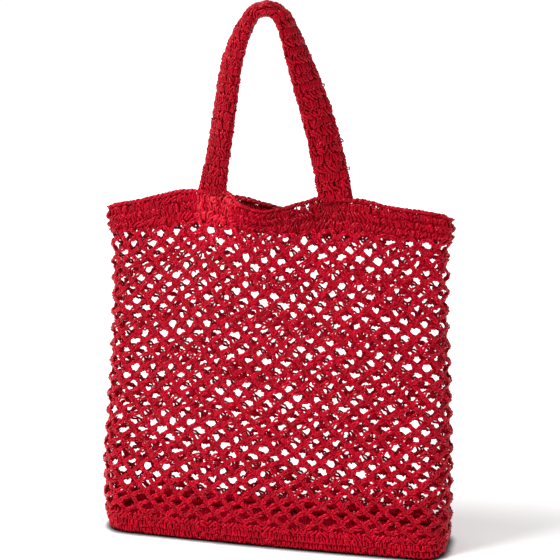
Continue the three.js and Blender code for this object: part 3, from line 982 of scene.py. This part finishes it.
@dataclass
class NetBody:
    """The open diamond net: arches of chain stitches knotted where they meet."""

    wall: SoftWall
    cells: int = 38
    rows: int = 33
    knot_reach: float = 0.0020
    arch: float = 0.0024
    knot_size: float = 0.0096
    chain_width: float = 0.0048
    yarn_radius: float = 0.0016
    bow_out: float = 0.0022
    knot_in: float = 0.0007
    wander: float = 0.0011
    drift: float = 0.0011
    waves: tuple[tuple[int, float], ...] = ((3, 2.2), (5, -3.1), (8, 4.3))
    low_rows: float = 0.2
    low_reach: float = 2.0
    split_row: int = 17
    turn_jitter: float = 5.0
    chains: int = 2

    def __post_init__(self) -> None:
        """Work out the cell's size on the flat net."""
        self.climb = self.wall.height - self.wall.rim_height - self.wall.base_band_height
        self.cell_width = self.wall.perimeter / self.cells

    def drape(self, flat: Array) -> Array:
        """Take the flat net to the wall, between the base band and the rim."""
        around = flat[:, 0] / self.wall.perimeter
        low = self.wall.base_band_height
        high = self.wall.rim_bottom(around)
        z = low + (high - low) * flat[:, 1] / self.climb
        puff = self.wall.puff(around, z, 2 * self.climb / self.rows)
        return self.wall.place(around, z, flat[:, 2] + puff)

    def build(self, rng: np.random.Generator, yarn: Yarn) -> None:
        """Crochet the net in four pieces: the lower and upper part of its front and back."""
        cell, row = np.meshgrid(np.arange(self.cells), np.arange(self.rows + 1))
        wander = rng.normal(0, self.wander, (*cell.shape, 2))
        for turns, climb in self.waves:
            phase = 2 * np.pi * (turns * cell / self.cells + climb * row / self.rows + rng.random())
            wander += self.drift * np.stack([np.sin(phase), 0.6 * np.cos(phase)], -1)
        wander[0], wander[-1] = 0, 0
        steps = 1 - self.low_rows * np.exp(-np.arange(self.rows) / self.low_reach)
        y = (np.concatenate([[0], np.cumsum(steps)]) * self.climb / steps.sum())[row]
        x = (cell + (row % 2) / 2) * self.cell_width + self.wall.net_lean * y
        knots = np.stack([x, y], -1) + wander
        quarter_turn = self.cells // 4
        parts = (("low", range(self.split_row)), ("high", range(self.split_row, self.rows + 1)))
        for half in Half:
            for part, rows in parts:
                cloth = Cloth(rng, yarn=self.yarn_radius, turn_jitter=self.turn_jitter)
                for j in rows:
                    leant = self.wall.net_lean * y[j] / self.cell_width
                    facing = (cell[j] + (j % 2) / 2 + leant) % self.cells
                    is_front = (facing < quarter_turn) | (facing >= self.cells - quarter_turn)
                    chosen = is_front if half is Half.FRONT else ~is_front
                    own = knots[j][chosen]
                    cloth.lay(KNOT, own, (self.knot_size, self.knot_size), out=-self.knot_in)
                    if j < self.rows:
                        self._lay_arches(cloth, knots, j, chosen)
                name = f"net_{half.value}_{part}"
                # The back half's painted shade between the stitches is lighter than the front's; both halves
                # take the wall's painted highlight and painted shade.
                finish = yarn.open_straw if half is Half.FRONT else yarn.lit_straw
                piece = knit(name, self.wall.tone(cloth.runs()), yarn.grain, self.drape, finish)
                seat(piece, "net_body")

    def _lay_arches(self, cloth: Cloth, knots: Array, j: int, chosen: Array) -> None:
        """Lay the two chains that rise from each knot of one row.

        Args:
            cloth: the flat net.
            knots: places of all knots, by row and cell.
            j: the row.
            chosen: which cells of the row belong to this piece.
        """
        width = np.array([self.cells * self.cell_width, 0])
        index = np.arange(self.cells)
        for step in (0, 1):
            above = index - 1 + step + (j % 2)
            wrap = np.floor_divide(above, self.cells)
            start = knots[j]
            end = knots[j + 1][above % self.cells] + wrap[:, None] * width
            start, end = start[chosen], end[chosen]
            way = end - start
            length = np.linalg.norm(way, axis=1)
            ahead = way / length[:, None]
            left = np.stack([-ahead[:, 1], ahead[:, 0]], 1)
            lift = np.where(left[:, 1:] > 0, 1, -1) * left
            free = length - 2 * self.knot_reach
            pitch = free / self.chains
            for chain in range(self.chains):
                share = (self.knot_reach + pitch * chain) / length
                share_end = (self.knot_reach + pitch * (chain + 1)) / length
                root, tip = (
                    start + way * at[:, None] + lift * (self.arch * np.sin(np.pi * at))[:, None]
                    for at in (share, share_end)
                )
                along = tip - root
                heading = np.arctan2(along[:, 1], along[:, 0]) - np.pi / 2
                size = (self.chain_width, np.linalg.norm(along, axis=1))
                out = self.bow_out * np.sin(np.pi * (share + share_end) / 2) - self.knot_in
                cloth.lay(CHAIN, root, size, heading, out)


@dataclass
class RimBand:
    """The solid band along the mouth, with a cable along its edge."""

    wall: SoftWall
    rows: int = 3
    stitches: int = 186
    cable: float = 0.0035
    half_wall: float = 0.0011
    missing_filler: float = 0.02
    top_row: float = 0.92
    cable_stitches: int = 132
    edge_fill: float = 0.8
    corner_drop: float = 0.0026
    drop_reach: float = 0.012
    ridge: float = 0.0008
    corner_pull: float = 0.005
    thin_spots: tuple[tuple[float, float], ...] = ((0.455, 0.56), (0.03, 0.05))
    thin_share: float = 0.45
    mixes: tuple = (
        ((UPRIGHT, 0.35), (SLANTING, 0.1), (SLANTING_BACK, 0.55)),
        ((UPRIGHT, 0.25), (SLANTING, 0.5), (SLANTING_BACK, 0.25)),
        ((UPRIGHT, 0.6), (SLANTING, 0.1), (SLANTING_BACK, 0.3)),
    )

    def drape(self, flat: Array) -> Array:
        """Take the flat band to the wall, between the rim's two waving edges."""
        around = flat[:, 0] / self.wall.perimeter
        low, high = self.wall.rim_bottom(around), self.wall.rim_top(around)
        up = flat[:, 1] / self.wall.rim_height
        drop = self.corner_drop * self.wall.near_side(around, self.drop_reach) * up**2
        z = low + (high - low) * up - drop
        puff = self.wall.puff(around, z, self.wall.rim_height / self.rows)
        side = self.wall.near_side(around, self.wall.side_reach)
        pull = self.corner_pull * side * np.clip(up, 0, 1) ** 4
        row = flat[:, 1] * self.rows / (self.wall.rim_height - self.cable)
        ridge = -self.ridge * np.cos(2 * np.pi * row)
        return self.wall.place(around, z, flat[:, 2] + puff - pull + ridge)

    def with_painted_light(self, runs: Runs) -> Runs:
        """The band's yarn with the wall's painted highlight and painted shade, read at its height on the
        wall.
        """
        lifted = runs.start + [0, self.wall.height - self.wall.rim_height, 0]
        return runs._replace(lot=self.wall.tone(runs._replace(start=lifted)).lot)

    def build(self, rng: np.random.Generator, yarn: Yarn) -> None:
        """Crochet the band's two faces and the cable on its edge."""
        pitch = self.wall.perimeter / self.stitches
        row_height = (self.wall.rim_height - self.cable) / self.rows
        outer = Cloth(rng, yarn=0.0013, turn_jitter=14.0, place_jitter=0.0006, size_jitter=0.18, sway=0.5)
        cable, inner, filling = Cloth(rng, yarn=0.0017, turn_jitter=3.0), Cloth(rng), Cloth(rng)
        size = (pitch, row_height)
        for row in range(self.rows):
            x = (np.arange(self.stitches) + 0.5 * (row % 2)) * pitch
            origin = np.stack([x, np.full_like(x, row * row_height)], 1)
            tall = row_height * (self.top_row if row == self.rows - 1 else 1)
            around = x / self.wall.perimeter
            thin = np.any([(around > start) & (around < end) for start, end in self.thin_spots], axis=0)
            thin &= (rng.random(self.stitches) < self.thin_share) & (row == self.rows - 1)
            outer.lay_mixed(self.mixes[row], origin[~thin], (pitch, tall), self.half_wall)
            outer.lay(PLAIN_BACK, origin[thin], size)
            inner.lay(PLAIN_BACK, origin[~thin], size, out=-self.half_wall, inside=True)
            kept = ~thin & (rng.random(self.stitches) > self.missing_filler)
            filling.lay(FILLER, origin[kept], size)
        edge = np.stack([x, np.full_like(x, self.wall.rim_height - self.cable)], 1)
        filling.lay(FILLER, edge, (pitch, self.cable * self.edge_fill))
        turn = self.wall.perimeter / self.cable_stitches
        edge = np.stack([np.arange(self.cable_stitches) * turn, np.zeros(self.cable_stitches)], 1)
        edge[:, 1] = self.wall.rim_height - self.cable / 2
        cable.lay(CABLE, edge, (turn, self.cable))
        made = (
            # The outer face and the cable take the wall's painted highlight and painted shade.
            knit("rim_band_outer", self.with_painted_light(outer.runs()), yarn.fine, self.drape, yarn.straw),
            knit("rim_band_cable", self.with_painted_light(cable.runs()), yarn.fine, self.drape, yarn.straw),
            knit("rim_band_inner", inner.runs(), yarn.plain, self.drape, yarn.straw),
            knit("rim_band_filling", filling.runs(), yarn.plain, self.drape, yarn.shaded),
        )
        for piece in made:
            seat(piece, "rim_band")


@dataclass
class Handle:
    """The thick crocheted handle: rows of stitches round a padded strap."""

    wall: SoftWall
    rise: float = 0.207
    width: float = 0.038
    thickness: float = 0.017
    setback: float = 0.012
    gap: float = 0.0003
    samples: int = 400
    stitches_round: int = 19
    rows: int = 44
    depth_of_yarn: float = 0.0014
    overlap: float = 0.003
    foot_reach: float = 0.55
    filling_depth: float = 0.003
    girth_steps: int = 360
    mixes: tuple = (
        ((UPRIGHT, 0.1), (SLANTING, 0.8), (SLANTING_BACK, 0.1)),
        ((UPRIGHT, 0.85), (SLANTING, 0.05), (SLANTING_BACK, 0.1)),
    )
    loop_length: float = 0.0052
    loops: tuple[tuple[float, float], ...] = (
        (0.5, 0.245),
        (0.5, 0.43),
        (0.0, 0.72),
        (0.0, 0.775),
        (0.5, 0.62),
        (0.0, 0.86),
        (0.0, 0.93),
    )

    def __post_init__(self) -> None:
        """Work out the handle's middle line, its sections and the places round one section."""
        share = np.linspace(0, 1, self.samples + 1)
        self.line = self._line(share)
        ahead = unit(np.gradient(self.line, axis=0))
        front = np.array([0.0, -1.0, 0.0]) - ahead * -ahead[:, 1:2]
        front = unit(front)
        outward = np.cross(front, ahead)
        order = np.arange(len(HANDLE_PATH), dtype=float)
        at = share * (len(HANDLE_PATH) - 1)
        turn = np.radians(smooth_column(order, column(HANDLE_PATH, "turn"), at))[:, None]
        self.face = outward * np.cos(turn) + front * np.sin(turn)
        self.across = np.cross(self.face, ahead)
        self.half_wide = smooth_column(order, column(HANDLE_PATH, "wide"), at) * self.width / 2
        self.half_thick = smooth_column(order, column(HANDLE_PATH, "thick"), at) * self.thickness / 2
        steps = np.linalg.norm(np.diff(self.line, axis=0), axis=1)
        self.mileage = np.concatenate([[0], np.cumsum(steps)])
        self.length = self.mileage[-1]
        angle = np.linspace(0, 2 * np.pi, self.girth_steps + 1)
        oval = np.stack([np.cos(angle) * self.width / 2, np.sin(angle) * self.thickness / 2], 1)
        girth = np.concatenate([[0], np.cumsum(np.linalg.norm(np.diff(oval, axis=0), axis=1))])
        self.girth = girth[-1]
        self.girth_at, self.angle_at = girth, angle

    def _line(self, share: Array) -> Array:
        """Points of the middle line.

        Args:
            share: shares of the way through the table's rows.

        Returns:
            Points in the row frame.
        """
        feet = np.array([self.wall.left_foot, self.wall.right_foot])
        left, right = self.wall.place(feet, self.wall.rim_top(feet), np.zeros(2))
        points = left + column(HANDLE_PATH, "along")[:, None] * (right - left)
        points[:, 1] += column(HANDLE_PATH, "back") * self.setback
        points[:, 2] += self.gap + column(HANDLE_PATH, "rise") * self.rise
        ends = [2 * points[0] - points[1], 2 * points[-1] - points[-2]]
        points = np.concatenate([ends[:1], points, ends[1:]])
        at = share * (len(HANDLE_PATH) - 1)
        i = np.minimum(np.floor(at).astype(int), len(HANDLE_PATH) - 2)
        t = (at - i)[:, None]
        p0, p1, p2, p3 = points[i], points[i + 1], points[i + 2], points[i + 3]
        d0, d1, d2 = [
            np.linalg.norm(b - a, axis=1, keepdims=True) ** 0.5 for a, b in ((p0, p1), (p1, p2), (p2, p3))
        ]
        leave = ((p1 - p0) / d0 - (p2 - p0) / (d0 + d1) + (p2 - p1) / d1) * d1
        reach = ((p2 - p1) / d1 - (p3 - p1) / (d1 + d2) + (p3 - p2) / d2) * d1
        square = -3 * p1 + 3 * p2 - 2 * leave - reach
        cube = 2 * p1 - 2 * p2 + leave + reach
        return p1 + leave * t + square * t**2 + cube * t**3

    def drape(self, flat: Array) -> Array:
        """Take the flat strip, girth by length, round the strap."""
        at = np.clip(flat[:, 1], 0, self.length)
        angle = np.interp(flat[:, 0] % self.girth, self.girth_at, self.angle_at)
        read = [
            np.stack([np.interp(at, self.mileage, table[:, i]) for i in range(3)], 1)
            for table in (self.line, self.across, self.face)
        ]
        point, across, face = read[0], unit(read[1]), unit(read[2])
        half_wide = np.interp(at, self.mileage, self.half_wide)
        half_thick = np.interp(at, self.mileage, self.half_thick)
        cos, sin = np.cos(angle), np.sin(angle)
        slope = np.hypot(cos / half_wide, sin / half_thick)
        wide = cos * half_wide + cos / half_wide / slope * flat[:, 2]
        thick = sin * half_thick + sin / half_thick / slope * flat[:, 2]
        placed = point + across * wide[:, None] + face * thick[:, None]
        foot = self.width * self.foot_reach
        sink = np.clip(1 - np.minimum(at, self.length - at) / foot, 0, 1)
        placed[:, 2] += (point[:, 2] - placed[:, 2]) * sink**2
        placed[:, 2] += np.minimum(flat[:, 1], 0) + np.minimum(self.length - flat[:, 1], 0)
        return placed

    def build(self, rng: np.random.Generator, yarn: Yarn) -> None:
        """Crochet the strap in rows that show their right and wrong side in turn."""
        pitch = self.girth / self.stitches_round
        row_height = (self.length + 2 * self.overlap) / self.rows
        cloth = Cloth(rng, yarn=0.00145, turn_jitter=10.0, place_jitter=0.0004, size_jitter=0.13, sway=0.25)
        x = np.arange(self.stitches_round) * pitch
        for row in range(self.rows):
            y = row * row_height - self.overlap
            origin = np.stack([x + pitch * 0.5 * (row % 2), np.full_like(x, y)], 1)
            cloth.lay_mixed(self.mixes[row % 2], origin, (pitch, row_height), -self.depth_of_yarn)
        loops = np.array(self.loops) * [self.girth, self.length]
        cloth.lay(LOOP, loops, (pitch, self.loop_length))
        piece = knit("handle_rows", cloth.runs(), yarn.fine, self.drape, yarn.handle_straw_painted_darker)
        seat(piece, "handle")
        filler = Cloth(rng)
        for row in range(self.rows):
            origin = np.stack([x, np.full_like(x, row * row_height - self.overlap)], 1)
            filler.lay(FILLER, origin, (pitch, row_height), out=-self.filling_depth)
        piece = knit("handle_filling", filler.runs(), yarn.plain, self.drape, yarn.shaded)
        seat(piece, "handle")


def bearing(azimuth: float, elevation: float) -> Vector:
    """The direction from the bag at this bearing and height in degrees, with 0 straight in front."""
    turn, rise = math.radians(azimuth), math.radians(elevation)
    return Vector((math.sin(turn) * math.cos(rise), -math.cos(turn) * math.cos(rise), math.sin(rise)))


@dataclass
class Studio:
    """A plain white floor, soft light and the camera at the photograph's angle."""

    azimuth: float = 14.0
    elevation: float = 11.6
    distance: float = 1.7146
    aim: tuple[float, float, float] = (0.0075, 0.0, 0.3129)
    lens: float = 94.1
    sensor: float = 36.0
    floor_size: float = 60.0
    floor_colour: str = "F4F4F4"
    floor_roughness: float = 0.9
    floor_glow: float = 0.36
    # How the painted contact shadow on the floor is sampled, how far it reaches and how steeply it falls
    # off.
    painted_shadow_samples: int = 8
    painted_shadow_reach: float = 0.011
    painted_shadow_depth: float = 3.2
    sky_strength: float = 0.5
    backdrop_strength: float = 1.05
    key_strength: float = 3.4
    key_softness: float = 24.0
    key_azimuth: float = -60.0
    key_elevation: float = 50.0
    key_distance: float = 3.0

    def build(self) -> None:
        """Set up floor, light and camera."""
        self._floor()
        self._lights()
        self._camera()

    def _floor(self) -> None:
        """Lay the pale floor, with a painted contact shadow that darkens it near the bag."""
        bpy.ops.object.select_all(action="DESELECT")
        bpy.ops.mesh.primitive_plane_add(size=self.floor_size, location=(0, 0, 0))
        floor = bpy.context.object
        floor.name = "studio_floor"
        material = bpy.data.materials.new("matt_white_paper")
        material.use_nodes = True
        tree = material.node_tree
        shader = tree.nodes["Principled BSDF"]
        # Painted contact shadow: ambient occlusion darkens the floor's colour and glow towards black close
        # to the bag.
        painted_shadow_ao = add_node(
            tree,
            "ShaderNodeAmbientOcclusion",
            {"samples": self.painted_shadow_samples, "Distance": self.painted_shadow_reach},
            {},
        )
        painted_shadow = add_node(
            tree, "ShaderNodeMath", {"operation": "POWER", 1: self.painted_shadow_depth}, {0: painted_shadow_ao.outputs["AO"]}
        )
        paper = add_node(
            tree,
            "ShaderNodeMix",
            {"data_type": "RGBA", 6: (0, 0, 0, 1), 7: linear(self.floor_colour)},
            {0: painted_shadow.outputs[0]},
        )
        tree.links.new(paper.outputs[2], shader.inputs["Base Color"])
        tree.links.new(paper.outputs[2], shader.inputs["Emission Color"])
        shader.inputs["Emission Strength"].default_value = self.floor_glow
        shader.inputs["Roughness"].default_value = self.floor_roughness
        shader.inputs["Specular IOR Level"].default_value = 0.0
        floor.data.materials.append(material)

    def _lights(self) -> None:
        """Let a broad soft key shine from the left and a white room fill the rest."""
        world = bpy.data.worlds.new("white_room")
        bpy.context.scene.world = world
        world.use_nodes = True
        tree = world.node_tree
        fill = tree.nodes["Background"]
        fill.inputs["Color"].default_value = (1, 1, 1, 1)
        fill.inputs["Strength"].default_value = self.sky_strength
        white = {"Color": (1, 1, 1, 1), "Strength": self.backdrop_strength}
        seen = add_node(tree, "ShaderNodeBackground", white, {})
        path = add_node(tree, "ShaderNodeLightPath", {}, {})
        room = add_node(
            tree,
            "ShaderNodeMixShader",
            {},
            {0: path.outputs["Is Camera Ray"], 1: fill.outputs[0], 2: seen.outputs[0]},
        )
        tree.links.new(room.outputs[0], tree.nodes["World Output"].inputs["Surface"])
        way = bearing(self.key_azimuth, self.key_elevation)
        bpy.ops.object.light_add(type="SUN", location=way * self.key_distance)
        key = bpy.context.object
        key.data.energy = self.key_strength
        key.data.angle = math.radians(self.key_softness)
        key.rotation_euler = (-way).to_track_quat("-Z", "Y").to_euler()

    def _camera(self) -> None:
        """Place the camera."""
        way = bearing(self.azimuth, self.elevation)
        aim = Vector(self.aim)
        camera = bpy.data.cameras.new("photo_camera")
        camera.lens = self.lens
        camera.sensor_width = self.sensor
        holder = bpy.data.objects.new("photo_camera", camera)
        holder.location = aim + way * self.distance
        holder.rotation_euler = (-way).to_track_quat("-Z", "Y").to_euler()
        bpy.context.scene.collection.objects.link(holder)
        bpy.context.scene.camera = holder


def main() -> None:
    """Crochet the bag piece by piece and set up the studio."""
    logging.basicConfig(level=logging.INFO, format="%(name)s %(message)s")
    rng = np.random.default_rng(SEED)
    wall = SoftWall()
    fine = model_lobe("yarn_run", 5, FINE_RINGS)
    grain = model_lobe("yarn_run_short", 5, GRAIN_RINGS)
    plain = model_lobe("yarn_run_plain", 4, PLAIN_RINGS)
    # The real bag is most likely one dye. These shift it piece by piece to meet the photograph's tones, so
    # they are painted light and painted shade:
    # the inside of the band and the floor are painted lighter, the handle darker, and the painted shade
    # between the stitches lighter in the nets.
    straw = PaperStraw().make()
    shaded = PaperStraw("inner_paper_straw", deep_painted_shade="980010", roughness=0.6).make()
    open_straw = PaperStraw("net_paper_straw", deep_painted_shade="B80020").make()
    lit_straw = PaperStraw("lit_paper_straw", deep_painted_shade="DA002C").make()
    # Painted lighter than the dye, for the inside of the base band and the floor.
    inside_straw_painted_lighter = PaperStraw(
        "inside_paper_straw", pale="F0063E", middle="DC0034", deep="C80028", deep_painted_shade="E0002E"
    ).make()
    # Painted darker than the dye, for the handle.
    handle_straw_painted_darker = PaperStraw(
        "handle_paper_straw", pale="BA0022", middle="A20018", deep="8A0010", deep_painted_shade="900010"
    ).make()
    yarn = Yarn(fine, grain, plain, straw, open_straw, lit_straw, inside_straw_painted_lighter, handle_straw_painted_darker, shaded)
    BasePanel(wall).build(rng, yarn)
    BaseBand(wall).build(rng, yarn)
    NetBody(wall).build(rng, yarn)
    RimBand(wall).build(rng, yarn)
    Handle(wall).build(rng, yarn)
    Studio().build()
    bpy.context.scene.view_settings.view_transform = "Standard"


if __name__ == "__main__":
    main()
